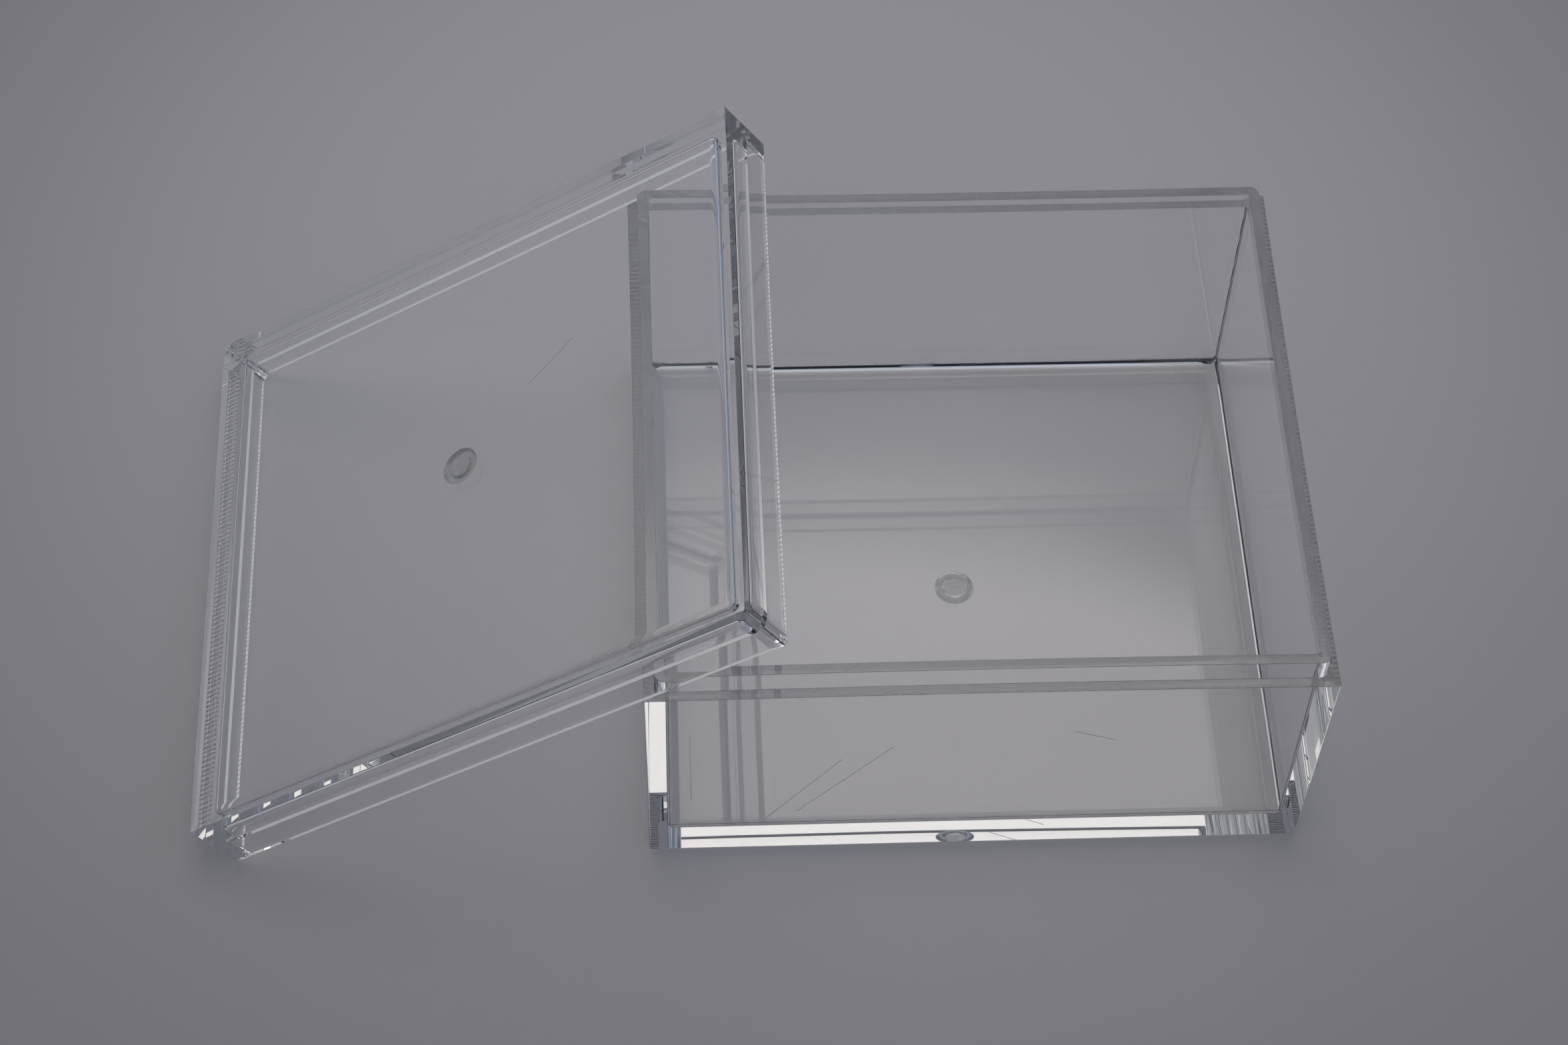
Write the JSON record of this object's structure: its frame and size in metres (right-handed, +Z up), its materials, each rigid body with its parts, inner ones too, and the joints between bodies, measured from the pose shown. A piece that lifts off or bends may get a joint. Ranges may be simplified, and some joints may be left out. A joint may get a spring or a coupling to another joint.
{
  "type": "storage box",
  "caption": "Clear rectangular storage box with a stepped rim, and its shallow lid leaning on one side wall.",
  "frame": {"origin": "centre of the base's underside, on the stub of its gate mark", "axes": "+X along the base's long side away from the leaning lid, +Y to the back, +Z up"},
  "size_m": [0.1598, 0.088, 0.0623],
  "materials": {
    "base_plastic": "clear, moulded, glossy",
    "lid_plastic": "clear, moulded, glossy"
  },
  "bodies": {
    "base": {"base": "base_plastic"},
    "lid": {"lid": "lid_plastic"}
  },
  "joints": [
    {"name": "lid_lift", "type": "slide", "parent": "base", "child": "lid", "axis": [0, 0, 1], "range_m": [0, 0.06]}
  ]
}
